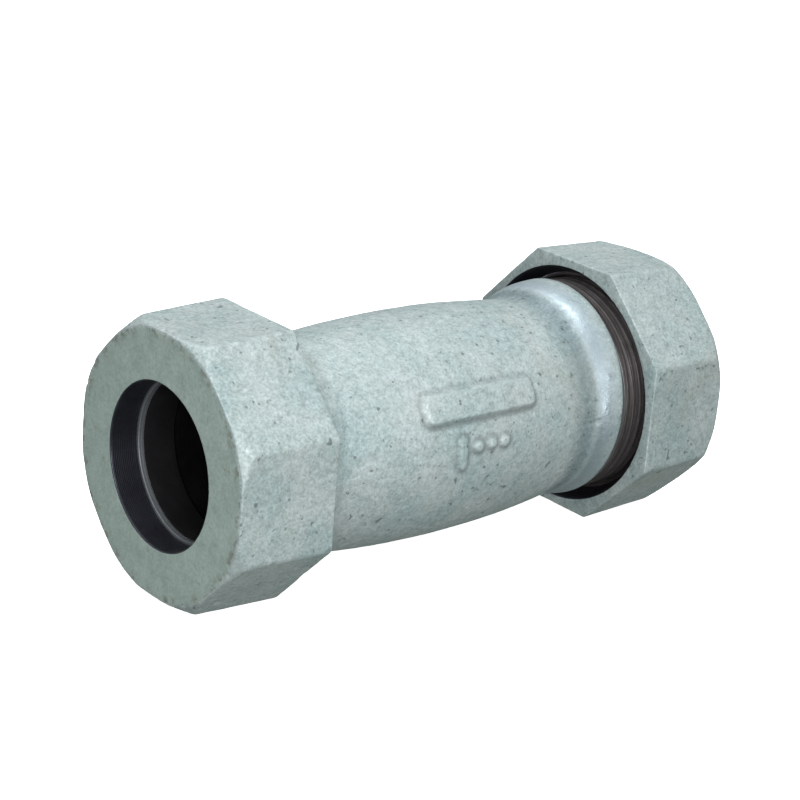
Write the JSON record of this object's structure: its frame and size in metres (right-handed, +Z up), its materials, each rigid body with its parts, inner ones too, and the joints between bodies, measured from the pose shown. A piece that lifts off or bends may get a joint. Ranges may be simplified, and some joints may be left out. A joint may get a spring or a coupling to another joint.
{
  "type": "pipe union",
  "caption": "Compression coupling for steel pipe: barrel-shaped cast body with a threaded octagonal nut, retainer ring and rubber gasket at each end.",
  "frame": {"origin": "centre of the whole coupling on the pipe axis, half way between the nuts' outer faces at rest", "axes": "+X along the pipe axis from the front nut to the rear nut; +Z up, with a flat of each nut facing down; the pad on the body faces -Y"},
  "size_m": [0.1334, 0.0586, 0.0586],
  "materials": {
    "galvanised_body": "hot-dip galvanised casting, dull mottled grey, with bare dark machined threads",
    "galvanised_nut": "hot-dip galvanised casting, dull mottled grey, with bare dark machined bore",
    "plated_ring": "zinc-plated steel, turned",
    "gasket_rubber": "moulded black rubber"
  },
  "bodies": {
    "root": {"body": "galvanised_body"},
    "front_seal": {"front_retainer_ring": "plated_ring", "front_gasket": "gasket_rubber"},
    "front_nut": {"front_nut": "galvanised_nut"},
    "rear_seal": {"rear_retainer_ring": "plated_ring", "rear_gasket": "gasket_rubber"},
    "rear_nut": {"rear_nut": "galvanised_nut"}
  },
  "joints": [
    {"name": "front_nut_advance", "type": "slide", "parent": "root", "child": "front_seal", "axis": [1, 0, 0], "range_m": [-0.00885, 0.00047]},
    {"name": "front_nut_turn", "type": "hinge", "parent": "front_seal", "child": "front_nut", "pos_m": [-0.06674, 0, 0], "axis": [1, 0, 0], "range_deg": [-1440, 75]},
    {"name": "rear_nut_advance", "type": "slide", "parent": "root", "child": "rear_seal", "axis": [-1, 0, 0], "range_m": [-0.00167, 0.00765]},
    {"name": "rear_nut_turn", "type": "hinge", "parent": "rear_seal", "child": "rear_nut", "pos_m": [0.06674, 0, 0], "axis": [-1, 0, 0], "range_deg": [-270, 1245]}
  ],
  "couplings": [
    {"joint": "front_nut_advance", "follows": "front_nut_turn", "m_per_rad": 0.00035152},
    {"joint": "rear_nut_advance", "follows": "rear_nut_turn", "m_per_rad": 0.00035152}
  ]
}
